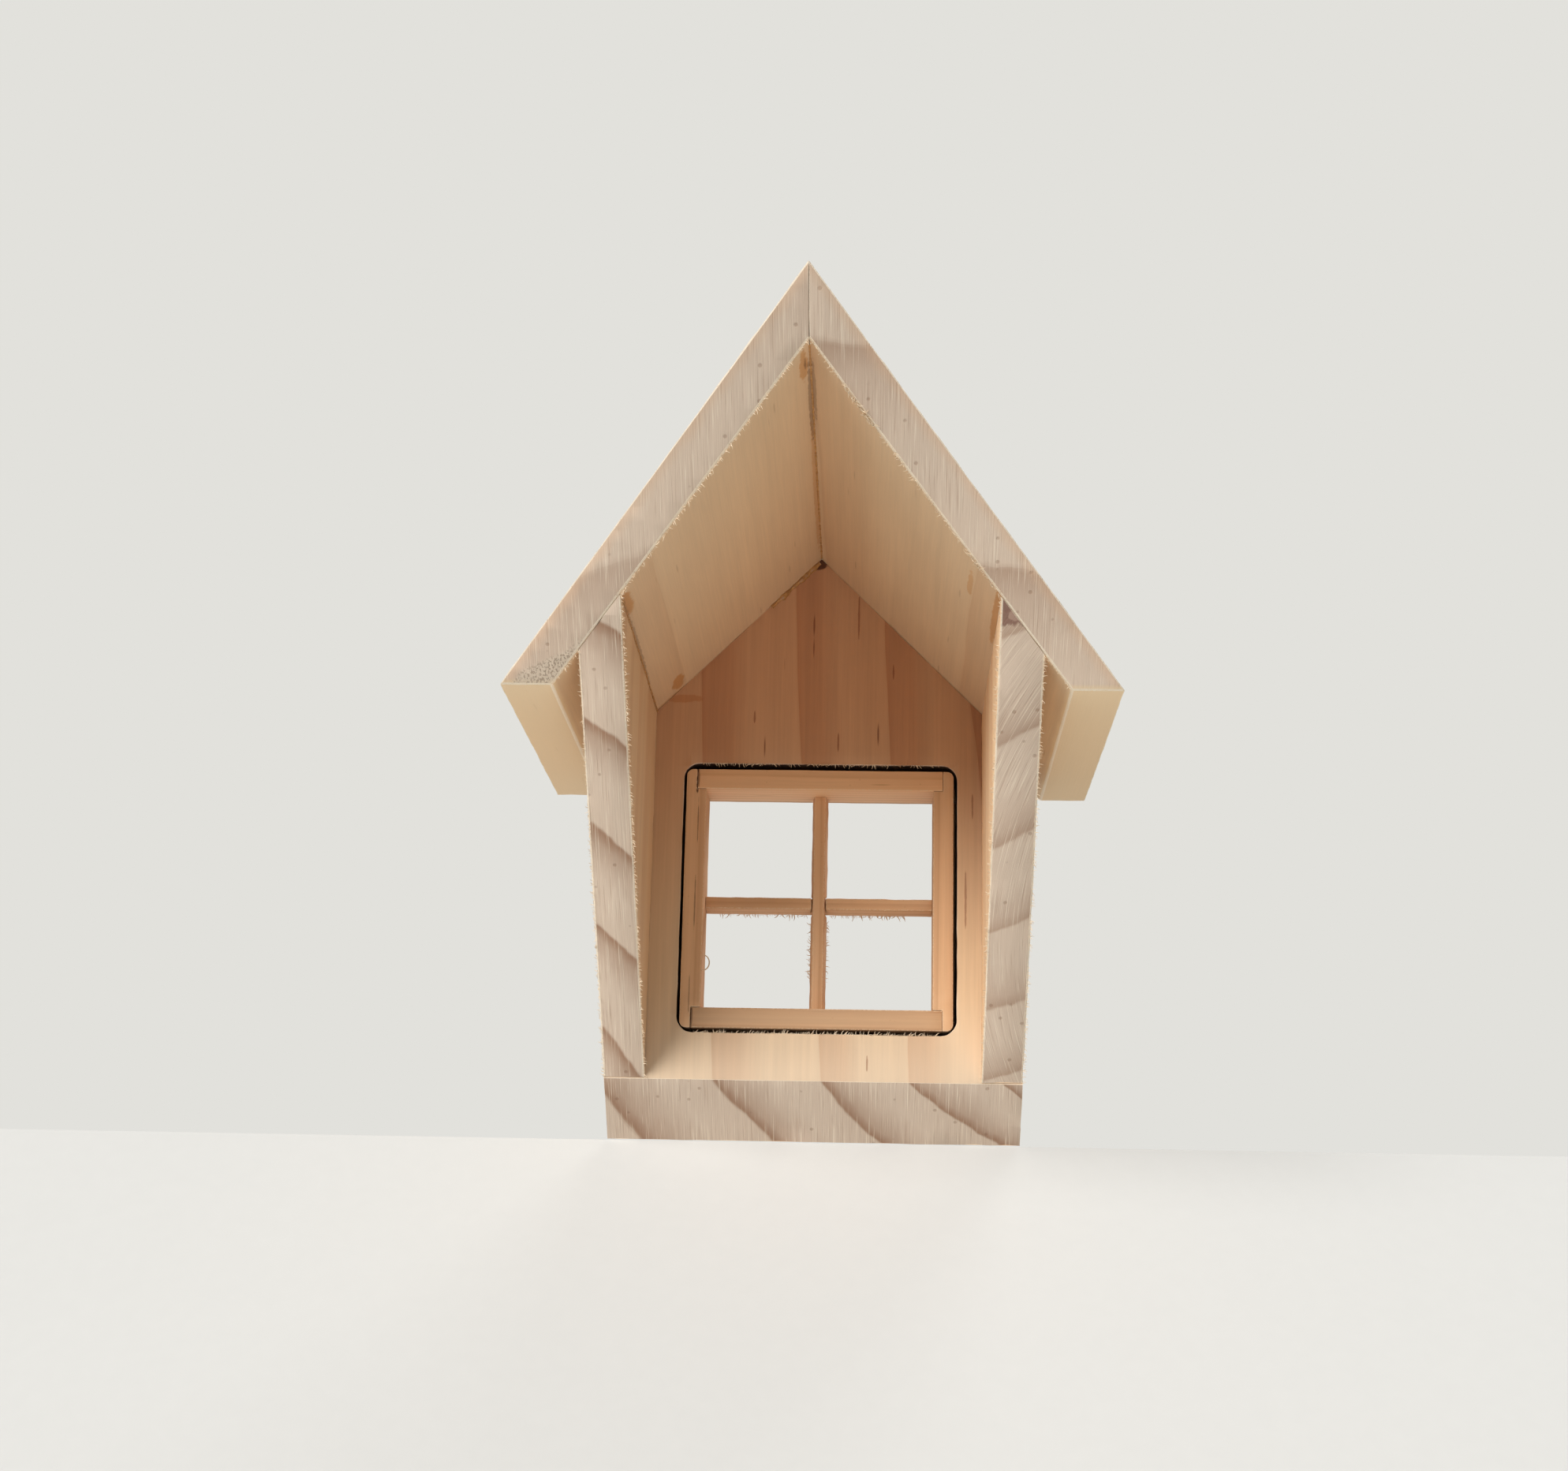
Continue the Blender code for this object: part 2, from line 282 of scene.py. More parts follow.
class Finish(Graph):
    """Builds one material. Its x, y and z are the surface point in the object's metres."""

    def __init__(self, name):
        self.material = bpy.data.materials.new(name)
        self.material.use_nodes = True
        super().__init__(self.material.node_tree)
        self.shader = self.tree.nodes["Principled BSDF"]
        point = self.add("ShaderNodeTexCoord", output="Object")
        split = self.add("ShaderNodeSeparateXYZ", sockets=(point,)).socket.node
        self.x, self.y, self.z = [Wire(self, split.outputs[axis]) for axis in range(3)]

    def vector(self, x, y, z):
        return self.add("ShaderNodeCombineXYZ", sockets=(x, y, z))

    def noise(self, place, detail=2.0, rough=0.5):
        """Noise from 0 to 1, one lump for each unit of the place's x, y and z."""
        sockets = {
            "Vector": self.vector(*place), "Scale": 1.0, "Detail": detail, "Roughness": rough
        }
        return self.add("ShaderNodeTexNoise", sockets=sockets, output="Fac")

    def scaled(self, count):
        """The surface point in lumps, with that many to the metre every way."""
        return self.x * count, self.y * count, self.z * count

    def specks(self, place, size, rarity):
        """1 in the middle of a few cells, 0 elsewhere: one cell for each unit of the place."""
        sockets = {"Vector": self.vector(*place), "Scale": 1.0}
        distance = self.add("ShaderNodeTexVoronoi", sockets=sockets, output="Distance")
        colour = Wire(self, distance.socket.node.outputs["Color"])
        chance = self.add("ShaderNodeSeparateColor", sockets=(colour,))
        return (1 - distance.step(*size)) * chance.step(*rarity)

    def blot(self, centre, radii, ragged=1.1):
        """1 inside a ragged spot around a point, 0 outside."""
        axes = zip((self.x, self.y, self.z), centre, radii)
        a, b, c = [(axis - middle) / radius for axis, middle, radius in axes]
        uneven = self.noise(self.scaled(420), 3.0, 0.6) - 0.5
        distance = (a * a + b * b + c * c).root() + uneven * ragged
        return 1 - distance.step(0.72, 1.0)

    def attribute(self, name):
        """A number that the mesh stores for each face."""
        return self.add("ShaderNodeAttribute", {"attribute_name": name}, output="Fac")

    def blend(self, share, first, second, kind="MIX"):
        """Mixes two colours."""
        first, second = [c if isinstance(c, Wire) else (*c, 1.0) for c in (first, second)]
        settings = {"data_type": "RGBA", "blend_type": kind}
        return self.add("ShaderNodeMix", settings, {0: share, 6: first, 7: second}, output=2)

    def shaded(self, colour, light):
        """A colour made lighter or darker by a number near 1."""
        return self.blend(1.0, colour, self.vector(light, light, light), "MULTIPLY")

    def finish(self, colour, roughness, height, depth):
        """Wires the shader: a colour, a roughness and a relief of that depth in metres."""
        bump = {"Height": height, "Distance": depth, "Strength": 1.0}
        self.connect(colour, self.shader.inputs["Base Color"])
        self.connect(roughness, self.shader.inputs["Roughness"])
        self.connect(self.add("ShaderNodeBump", sockets=bump), self.shader.inputs["Normal"])
        return self.material


# How dark a growth ring is, from its inner to its outer side: on an end and along the grain.
END_PROFILE = [
    (0.0, 0.5), (0.025, 0.05), (0.45, 0.0), (0.66, 0.22), (0.86, 0.55), (0.98, 1.0), (1.0, 0.7)
]
FACE_PROFILE = [
    (0.0, 0.3), (0.02, 0.03), (0.52, 0.0), (0.66, 0.4), (0.74, 0.72), (0.95, 0.8), (0.99, 1.0)
]
FINE_PROFILE = [(0.0, 0.2), (0.35, 0.0), (0.8, 0.55), (0.93, 1.0), (1.0, 0.25)]

# How deep the relief of a finish is.
PINE_DEPTH = 0.00007
STICK_DEPTH = 0.00005
GLUE_DEPTH = 0.00012
FIBRE_DEPTH = 0.00001
TABLE_DEPTH = 0.00002


@dataclass
class Board:
    """How one board or stick was cut from its tree, and how dark its marks are."""

    grain: str                  # axis that the fibres follow
    pith: tuple                 # middle of the tree, across and in depth from the origin
    first: float = 0.0          # radius of one ring line
    width: float = 0.0021       # width of the ring outside that line
    spread: float = 0.0         # how much wider the rings grow outwards
    lean: float = 0.0           # how far the pith leans across for each metre along
    shift: float = 0.0          # moves the fine pattern, so that no two boards are alike
    saw: tuple = None           # middle of the saw blade, across and up the slope
    contrast: float = 0.5       # how dark the rings are along the grain
    end_contrast: float = 1.0   # how dark the rings are on the sawn end
    tone: float = 1.0           # lighter or darker than its neighbours
    end_tone: float = 1.0       # the same for its sawn end
    resin: float = 0.75         # how dark the short resin streaks are


def wood_basics(graph, board, scale):
    """What every wood has: its place in the rings, fibres, and the marks on its mesh."""
    x, y, z = graph.x, graph.y, graph.z
    across, depth, along = {"Z": (x, y, z), "Y": (x, z, y), "X": (z, y, x)}[board.grain]
    moved_across, moved_depth = across + board.shift, depth + board.shift * 0.7

    def drawn_out(count, along_count):
        """The point in lumps: so many to the metre across the fibres, and along them."""
        return moved_across * count, moved_depth * count, along * along_count

    swell = min(board.width * 0.4, 0.006)
    wander = graph.noise(drawn_out(38, 7)) - 0.5
    ripple = graph.noise(drawn_out(300, 26)) - 0.5
    a = across - board.pith[0] - along * board.lean
    b = depth - board.pith[1]
    radius = (a * a + b * b).root() + wander * swell + ripple * swell * 0.17
    out = radius - board.first
    return SimpleNamespace(
        ring=(out / (board.width * scale + out * board.spread)).math("FRACT"),
        fibre=graph.noise(drawn_out(2300, 55), 3.0, 0.6),
        streak=graph.noise(drawn_out(520, 11), 2.0, 0.55),
        patch=graph.noise(drawn_out(60, 22)),
        canal=graph.specks(drawn_out(700, 62), (0.08, 0.22), (0.87, 0.89)),
        end=graph.attribute("end_grain"),
        sawn=graph.attribute("sawn"),
        edge=graph.attribute("edge"),
    )


def long_grain(graph, wood, look, board, profile):
    """Colour of a face that follows the fibres."""
    late = graph.add("ShaderNodeValToRGB", {"stops": profile}, (wood.ring,))
    colour = graph.blend(late * board.contrast, look.early, look.late)
    streaks = (wood.streak - 0.5) * (0.06 + board.contrast * 0.30)
    light = 0.90 + (wood.fibre - 0.5) * 0.17 + streaks + wood.patch * 0.12
    return graph.shaded(colour, light * board.tone)


def saw_marks(graph, blade):
    """Fine marks that the saw left up the slope: hairlines, and wider stripes.

    They are arcs around the blade's middle, given across and up the slope, or straight.
    """
    slope = (graph.z - graph.y) * SQUARE
    if blade:
        a, b = graph.x - blade[0], slope - blade[1]
        u = (a * a + b * b).root()
    else:
        u = graph.x
    lines = graph.noise((u * 4200, slope * 60, 0.0), 2.0, 0.65)
    stripes = graph.noise((u * 760, slope * 16, 3.0), 1.0)
    return lines, stripes


def sawn_end(graph, wood, look, board, lines, stripes):
    """Colour of a slanted sawn end: broken ring lines, dark and pale hairlines."""
    late = graph.add("ShaderNodeValToRGB", {"stops": END_PROFILE}, (wood.ring,))
    broken = 0.55 + stripes * 0.35 + lines * 0.55
    colour = graph.blend(late * board.end_contrast * broken, look.end_pale, look.end_dark)
    light = 0.82 + wood.patch * 0.12 + lines * 0.16 + stripes * 0.10
    colour = graph.shaded(colour, light * board.end_tone)
    colour = graph.blend((1 - lines.step(0.30, 0.42)) * 0.42, colour, look.end_dark)
    return graph.blend(lines.step(0.56, 0.68) * 0.55, colour, look.fuzz)


def pine(name, look, board, stains=(), painted_light_and_marks=None):
    """Bare pine: long grain, sawn slanted ends, worn edges and glue stains."""
    graph = Finish(name)
    wood = wood_basics(graph, board, look.ring_scale)
    face = long_grain(graph, wood, look, board, FACE_PROFILE)
    face = graph.blend(wood.canal * board.resin, face, look.resin)
    lines, stripes = saw_marks(graph, board.saw)
    end = sawn_end(graph, wood, look, board, lines, stripes)
    dots = graph.specks(graph.scaled(420), (0.12, 0.24), (0.84, 0.86))
    end = graph.blend(dots * 0.35, end, look.resin)
    crossed = wood.end.step(0.25, 0.62)
    colour = graph.blend(crossed, face, end)

    relief = wood.fibre * (1 - crossed) * 0.35 + lines * wood.sawn * 1.2
    relief = relief - wood.canal * (1 - crossed) * 0.6 - dots * crossed * 0.6
    # A board's own extras: painted light and shade, and real marks such as resin and torn grain.
    if painted_light_and_marks:
        colour, relief = painted_light_and_marks(graph, wood, look, colour, relief)
    roughness = 0.60 + wood.fibre * 0.12
    for centre, radii, strength, stain in stains:
        spot = graph.blot(centre, radii) * strength
        colour = graph.blend(spot, colour, stain, "MULTIPLY")
        roughness = roughness - spot * 0.22
    torn = graph.noise(graph.scaled(3000))
    colour = graph.blend(wood.edge * torn.step(0.22, 0.50) * 0.85, colour, look.fuzz)
    relief = relief + wood.edge * torn * 0.8
    return graph.finish(colour, roughness, relief, PINE_DEPTH)


def fine_wood(name, look, board, stains=()):
    """The window's plain, fine-grained wood, with a few dark streaks and seams."""
    graph = Finish(name)
    wood = wood_basics(graph, board, look.ring_scale)
    face = long_grain(graph, wood, look, board, FINE_PROFILE)
    pores = graph.specks(graph.scaled(900), (0.10, 0.24), (0.90, 0.93))
    face = graph.blend(wood.canal * 0.5 + pores * 0.25, face, look.late)
    end = graph.shaded(look.end_pale, 0.86 + wood.patch * 0.2)
    colour = graph.blend(wood.end.step(0.5, 0.9), face, end)
    for centre, radii, strength in stains:
        spot = graph.blot(centre, radii) * strength
        colour = graph.blend(spot, colour, BURNT, "MULTIPLY")
    torn = graph.noise(graph.scaled(2600))
    colour = graph.blend(wood.edge * torn.step(0.35, 0.65) * 0.6, colour, STICK_FUZZ)
    relief = wood.fibre * 0.4 + wood.edge * torn * 0.6
    return graph.finish(colour, 0.58 + wood.streak * 0.14, relief, STICK_DEPTH)


def roof_painted_light_and_marks(side):
    """Painted glow on the outer rim, painted light towards the eave, and torn grain beside the left
    eave.
    """
    def painted_light_and_marks(graph, wood, look, colour, relief):
        depth = (RIDGE_Z - graph.x * side - graph.z) * SQUARE
        uneven = graph.noise(graph.scaled(160)) * 0.0016
        # Painted glow: a warm rim of light along the outer face of the sawn end.
        rim = (1 - (depth + uneven).step(0.0008, 0.0034)) * wood.sawn
        colour = graph.blend(rim * 0.42, colour, RIM_PAINTED_GLOW)
        height = graph.z - EAVE_Z
        # Painted light: the sawn end is lighter towards the eave and darker towards the ridge.
        colour = graph.shaded(colour, 1 + wood.sawn * (0.07 - height * 2.0))
        eave = 1 - height.step(0.0002, 0.0012)
        colour = graph.blend(eave * 0.75, colour, look.sapwood)
        if side < 0:
            ragged = (uneven - 0.0008) * 3
            tip = EAVE_X - 0.0002
            torn = (depth * 2.6 - graph.x + ragged).step(tip, tip + 0.0025) * wood.sawn
            pits = graph.noise((graph.x * 2600, graph.y * 1500, graph.z * 1500), 2.0, 0.6)
            hole = torn * pits.step(0.52, 0.62)
            colour = graph.blend(torn * 0.60, colour, TORN_PALE)
            colour = graph.blend(hole * 0.60, colour, TORN_DARK)
            relief = relief - hole * 1.8 + torn * pits
        return colour, relief
    return painted_light_and_marks


def front_wall_painted_light_and_marks(graph, wood, look, colour, relief):
    """Painted shade that makes the room side redder up in the gable, painted light that makes its
    foot paler, and painted shade on the faces of the opening.
    """
    room_side = 1 - (graph.y - INSIDE_Y).step(0.0003, 0.0011)
    # Painted shade: the room side turns redder and darker up in the gable, under the roof.
    colour = graph.blend(graph.z.step(0.020, 0.100) * room_side, colour, GABLE_PAINTED_SHADE, "MULTIPLY")
    # Painted light: the room side is paler at its foot, where the light falls on it.
    foot = (1 - graph.z.step(0.004, 0.030)) * room_side * (1 - wood.sawn)
    colour = graph.blend(foot * 0.36, colour, FOOT_PAINTED_LIGHT)
    # Painted shade: the faces of the opening, in the narrow gap round the frame, are painted nearly
    # black.
    middle, half = (FRAME_LOW + FRAME_HIGH) / 2, (FRAME_HIGH - FRAME_LOW) / 2
    beside = (graph.x - middle.x).math("ABSOLUTE").step(half.x + 0.0010, half.x + 0.0014)
    above = (graph.z - middle.z).math("ABSOLUTE").step(half.z + 0.0016, half.z + 0.0020)
    street = (graph.y - WALL_HIGH.y).step(-0.0006, -0.0003)
    opening = (1 - beside) * (1 - above) * (1 - room_side) * (1 - street)
    colour = graph.blend(opening * 0.92, colour, OPENING_PAINTED_SHADE)
    return colour, relief


def right_wall_painted_light_and_marks(graph, wood, look, colour, relief):
    """Painted light on the upper room side, and a resin patch with a pale heart across the top of
    the sawn end.
    """
    across = graph.x - INSIDE_X
    room_side = 1 - across.step(0.0003, 0.0011)
    # Painted light: the room side is painted paler from low down towards the top.
    colour = graph.shaded(colour, 1 + room_side * graph.z.step(0.010, 0.080) * 0.17)
    ragged = graph.noise((graph.x * 520, graph.y * 260, graph.z * 260), 3.0, 0.65) - 0.5
    height = graph.z - across * 0.25 - (SIDE_HIGH.z - 0.0053)
    patch = (height + ragged * 0.0034).step(-0.0003, 0.0005)
    patch = patch * (1 - (across + ragged * 0.002).step(0.0066, 0.0076))
    heart_z = SIDE_HIGH.z - 0.0030
    heart = graph.blot((INSIDE_X + 0.0030, -heart_z, heart_z), (0.0013, 0.0014, 0.0014), 1.6)
    streaks = 0.82 + graph.noise((graph.x * 240, graph.y * 1500, graph.z * 1500)) * 0.36
    colour = graph.blend(patch * wood.sawn * 0.88, colour, graph.shaded(RESIN_PATCH, streaks))
    colour = graph.blend(heart * wood.sawn * 0.7, colour, RESIN_HEART)
    return colour, relief


def glue_material(look):
    graph = Finish("dried glue")
    cloud = graph.noise(graph.scaled(900), 3.0)
    colour = graph.blend(cloud.step(0.3, 0.7), look.colour, PALE_GLUE)
    graph.shader.inputs["Coat Weight"].default_value = 0.4
    graph.shader.inputs["Coat Roughness"].default_value = 0.2
    return graph.finish(colour, 0.28 + cloud * 0.2, cloud, GLUE_DEPTH)


def fibre_material(look):
    graph = Finish("loose fibre")
    mottle = graph.noise(graph.scaled(700))
    colour = graph.blend(mottle, look.fuzz, FIBRE_SHADE)
    return graph.finish(colour, 0.7 + mottle * 0.1, mottle, FIBRE_DEPTH)


def table_material(look):
    graph = Finish("pale table")
    grain = graph.noise(graph.scaled(260), 3.0)
    colour = graph.shaded(look.floor, 0.985 + grain * 0.03)
    return graph.finish(colour, 0.85 + grain * 0.05, grain, TABLE_DEPTH)


# ---- dressing a CAD solid -----------------------------------------------------------------

def new_object(name, bm, material=None):
    """Turns a bmesh into an object at the origin."""
    mesh = bpy.data.meshes.new(name)
    bm.to_mesh(mesh)
    bm.free()
    if material:
        mesh.materials.append(material)
    thing = bpy.data.objects.new(name, mesh)
    bpy.context.scene.collection.objects.link(thing)
    return thing


def with_modifiers_applied(thing):
    """Replaces an object's mesh by what its modifiers make of it."""
    evaluated = thing.evaluated_get(bpy.context.evaluated_depsgraph_get())
    mesh = bpy.data.meshes.new_from_object(evaluated)
    thing.modifiers.clear()
    thing.data = mesh
    return thing


def merged_copy(node):
    """The node's solid with its loose triangles joined and its flat faces whole."""
    bm = bmesh.new()
    bm.from_mesh(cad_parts[node].data)
    bmesh.ops.remove_doubles(bm, verts=bm.verts, dist=1e-6)
    bmesh.ops.dissolve_limit(bm, angle_limit=math.radians(1), verts=bm.verts, edges=bm.edges)
    bm.normal_update()
    return bm


def way_of(axis):
    """The unit vector along an axis."""
    return Vector([float(axis == other) for other in "XYZ"])


def facing(face, direction):
    return face.normal.dot(Vector(direction).normalized()) > 0.999


def grow(bm, direction, distance, inner=False):
    """Moves the faces that look that way outwards, to close a joint.

    With inner, only those inside the piece's length move, which are the faces of its notches.
    """
    faces = [face for face in bm.faces if facing(face, direction)]
    if inner:
        low, high = [pick(vert.co.z for vert in bm.verts) for pick in (min, max)]
        faces = [f for f in faces if low + 0.001 < f.calc_center_median().z < high - 0.001]
    for vert in {v for face in faces for v in face.verts}:
        vert.co += Vector(direction).normalized() * distance
    bm.normal_update()


def weigh_edges(bm, joint_ways, joint_share):
    """Sets how wide each edge is worn: full where it is open, little at a joint."""
    weight = bm.edges.layers.float.new("bevel_weight_edge")
    for edge in bm.edges:
        if len(edge.link_faces) == 2 and edge.calc_face_angle() > math.radians(25):
            closed = any(facing(face, way) for face in edge.link_faces for way in joint_ways)
            edge[weight] = joint_share if closed else 1.0


def slice_up(bm, step):
    """Cuts a solid into slabs along each axis, so that its edges get points to move."""
    for normal in map(way_of, "XYZ"):
        places = [vert.co.dot(normal) for vert in bm.verts]
        low, length = min(places), max(places) - min(places)
        count = int(length / step)
        for cut in range(1, count):
            place = normal * (low + length * cut / count)
            everything = bm.verts[:] + bm.edges[:] + bm.faces[:]
            bmesh.ops.bisect_plane(bm, geom=everything, plane_co=place, plane_no=normal)
    bm.normal_update()


def mark_faces(bm, grain, flat_ways):
    """Stores each face's worn edge, end grain and sawn numbers, and returns the worn points."""
    along = way_of(grain)
    edge_layer = bm.faces.layers.float.new("edge")
    end_layer = bm.faces.layers.float.new("end_grain")
    sawn_layer = bm.faces.layers.float.new("sawn")
    worn = set()
    for face in bm.faces:
        flat = max(face.normal.dot(way) for way in flat_ways) > 0.9995
        face[edge_layer] = 0.0 if flat else 1.0
        face[end_layer] = abs(face.normal.dot(along))
        face[sawn_layer] = 1.0 if face.normal.dot(SEAT_NORMAL) > 0.98 else 0.0
        if not flat:
            worn.update(face.verts)
    return worn


def dress(name, node, material, grain, edge_width, joints=(), joint_width=0.00006,
          wobble=0.00006, step=0.003, notches=0.0):
    """A worked copy of a CAD node: joints closed, edges worn, with its grain marked."""
    bm = merged_copy(node)
    flat_ways = [face.normal.copy() for face in bm.faces]
    for way, distance in joints:
        grow(bm, way, distance)
    for way in ((0, 0, -1), (0, 0, 1)) if notches else ():
        grow(bm, way, notches, inner=True)
    weigh_edges(bm, [way for way, distance in joints], joint_width / edge_width)
    thing = new_object(name, bm, material)
    bevel = thing.modifiers.new("worn edges", "BEVEL")
    bevel.width = edge_width
    bevel.segments = 2
    bevel.limit_method = "WEIGHT"
    with_modifiers_applied(thing)

    bm = bmesh.new()
    bm.from_mesh(thing.data)
    bm.normal_update()
    slice_up(bm, step)
    for vert in mark_faces(bm, grain, flat_ways):
        rough = noise.noise(vert.co * 420) + 0.6 * noise.noise(vert.co * 1300)
        vert.co += vert.normal * (rough - 0.25) * wobble
    bmesh.ops.triangulate(bm, faces=[face for face in bm.faces if len(face.verts) > 4])
    bm.to_mesh(thing.data)
    bm.free()
    thing.data.shade_smooth()
    thing.data.set_sharp_from_angle(angle=math.radians(24))
    return thing


def keep(piece, body, slot, *nodes):
    """Hangs a finished piece under its body's empty, and hides the CAD nodes that it replaces."""
    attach(piece, body)
    if nodes:
        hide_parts(*nodes)


def dress_board(name, node, slot, board, look, joints, stains=(), painted_light_and_marks=None):
    """Dresses one of the shell's boards in pine."""
    material = pine(node.replace("_", " "), look, board, stains, painted_light_and_marks)
    piece = dress(
        name, node, material, board.grain, look.edge_width, joints,
        look.joint_width, look.edge_wobble, look.cut_step,
    )
    keep(piece, "shell", slot, node)


def dress_stick(name, node, slot, board, look, width, joints=(), stains=(), **wear):
    """Dresses one of the window's sticks in fine wood, with edges eased to that width."""
    material = fine_wood(name.replace("_", " "), look, board, stains)
    piece = dress(name, node, material, board.grain, width, joints, **wear)
    keep(piece, "window", slot, node)


# ---- geometry nodes -----------------------------------------------------------------------

class Shaper(Graph):
    """Builds one geometry tree with named inputs, and runs it on an object."""

    def __init__(self, name, inputs):
        super().__init__(bpy.data.node_groups.new(name, "GeometryNodeTree"))
        face = self.tree.interface
        self.names = {}
        for label, kind in {"Geometry": "Geometry", **inputs, "Material": "Material"}.items():
            item = face.new_socket(label, in_out="INPUT", socket_type=f"NodeSocket{kind}")
            self.names[label] = item.identifier
        face.new_socket("Geometry", in_out="OUTPUT", socket_type="NodeSocketGeometry")
        self.start = self.tree.nodes.new("NodeGroupInput")
        self.end = self.tree.nodes.new("NodeGroupOutput")

    def value(self, label):
        return Wire(self, self.start.outputs[label])

    def spaced_wire(self, spacing):
        """The wire mesh as curves, with points at that spacing."""
        line = self.add("GeometryNodeMeshToCurve", sockets={"Mesh": self.value("Geometry")})
        sockets = {"Curve": line, "Length": spacing}
        return self.add("GeometryNodeResampleCurve", {"mode": "LENGTH"}, sockets)

    def tube(self, curve, sides, radius, scale):
        """A closed tube along a curve."""
        sockets = {"Resolution": sides, "Radius": radius}
        ring = self.add("GeometryNodeCurvePrimitiveCircle", sockets=sockets)
        sockets = {"Curve": curve, "Profile Curve": ring, "Scale": scale, "Fill Caps": True}
        return self.add("GeometryNodeCurveToMesh", sockets=sockets)

    def stored(self, name, kind="FLOAT"):
        """A value that the wire mesh stores for each point."""
        return self.add("GeometryNodeInputNamedAttribute", {"data_type": kind}, {"Name": name})

    def finish(self, result):
        """Ends the tree with a real mesh in its own material."""
        solid = self.add("GeometryNodeRealizeInstances", sockets={"Geometry": result})
        sockets = {"Geometry": solid, "Material": self.value("Material")}
        self.connect(self.add("GeometryNodeSetMaterial", sockets=sockets), self.end.inputs[0])
        return self

    def run(self, thing, values):
        """Runs the tree on an object with these values and keeps the mesh."""
        modifier = thing.modifiers.new(self.tree.name, "NODES")
        modifier.node_group = self.tree
        for label, value in values.items():
            modifier[self.names[label]] = value
        return with_modifiers_applied(thing)


def fibre_tree():
    """Short curved fibres along the edges of a wire mesh, leaning the way it says."""
    inputs = {"Spacing": "Float", "Length": "Float", "Radius": "Float", "Seed": "Int"}
    tree = Shaper("loose fibres", inputs)
    seed, length = tree.value("Seed"), tree.value("Length")
    spaced = tree.spaced_wire(tree.value("Spacing"))
    points = tree.add("GeometryNodeCurveToPoints", {"mode": "EVALUATED"}, {"Curve": spaced})

    arch = tree.add(
        "GeometryNodeCurveQuadraticBezier",
        sockets={"Resolution": 4, "Start": (0, 0, -0.1), "Middle": (0, 0, 0.6), "End": (0.5, 0, 1)},
    )
    along = tree.add("GeometryNodeSplineParameter", output="Factor")
    fibre = tree.tube(arch, 4, tree.value("Radius") / length, 1.0 - along * 0.75)

    scatter = tree.add(
        "FunctionNodeRandomValue", {"data_type": "FLOAT_VECTOR"},
        {0: (-0.8, -0.8, -0.8), 1: (0.8, 0.8, 0.8), "Seed": seed},
    )
    lean = tree.stored("outward", "FLOAT_VECTOR")
    aim = tree.add("ShaderNodeVectorMath", {"operation": "ADD"}, {0: lean, 1: scatter})
    turn = tree.add("FunctionNodeAlignRotationToVector", {"axis": "Z"}, {"Vector": aim})
    chance = tree.add(
        "FunctionNodeRandomValue", {"data_type": "FLOAT"}, {2: 0.35, 3: 1.35, "Seed": seed}, 1
    )
    size = length * tree.stored("share") * chance.math("POWER", 2.2)
    sockets = {"Points": points, "Instance": fibre, "Rotation": turn, "Scale": size}
    return tree.finish(tree.add("GeometryNodeInstanceOnPoints", sockets=sockets))


def bead_tree():
    """An uneven bead of glue along the edges of a wire mesh."""
    tree = Shaper("glue bead", {"Radius": "Float"})
    sockets = {"Scale": 620.0, "Detail": 3.0, "Roughness": 0.7}
    lumps = tree.add("ShaderNodeTexNoise", sockets=sockets)
    thick = lumps.math("POWER", 1.8) * 3.4 * tree.stored("share") * tree.value("Radius")
    return tree.finish(tree.tube(tree.spaced_wire(0.0005), 8, 1.0, thick))


def wire_object(name, runs):
    """A mesh of loose edges. A run is its points, the way it leans and its share of the size."""
    bm = bmesh.new()
    outward = bm.verts.layers.float_vector.new("outward")
    size = bm.verts.layers.float.new("share")
    for points, way, share in runs:
        verts = [bm.verts.new(point) for point in points]
        for vert in verts:
            vert[outward] = Vector(way).normalized()
            vert[size] = share
        for pair in zip(verts, verts[1:]):
            bm.edges.new(pair)
    return new_object(name, bm)


def curled_shaving(name, root, radius, rise, width, thickness, material):
    """A thin ribbon of wood that curls up and away from its root, narrowing to its end."""
    stations, turns, tighter, narrower = 20, 0.85, 0.45, 0.6
    bm = bmesh.new()
    rings = []
    for station in range(stations + 1):
        share = station / stations
        angle = math.pi + turns * math.tau * share
        outward = Vector((math.cos(angle), 0, math.sin(angle)))
        middle = root + Vector((radius, -width * share, rise * share))
        middle += outward * radius * (1 - tighter * share)
        across = Vector((0, width / 2 * (1 - narrower * share), 0))
        half = outward * thickness / 2
        corners = (-half - across, half - across, half + across, across - half)
        rings.append([bm.verts.new(middle + corner) for corner in corners])
    for first, second in zip(rings, rings[1:]):
        for side in range(4):
            after = (side + 1) % 4
            bm.faces.new((first[side], first[after], second[after], second[side]))
    bm.faces.new(rings[0])
    bm.faces.new(rings[-1])
    bmesh.ops.recalc_face_normals(bm, faces=bm.faces)
    return new_object(name, bm, material)


# ---- operators ----------------------------------------------------------------------------

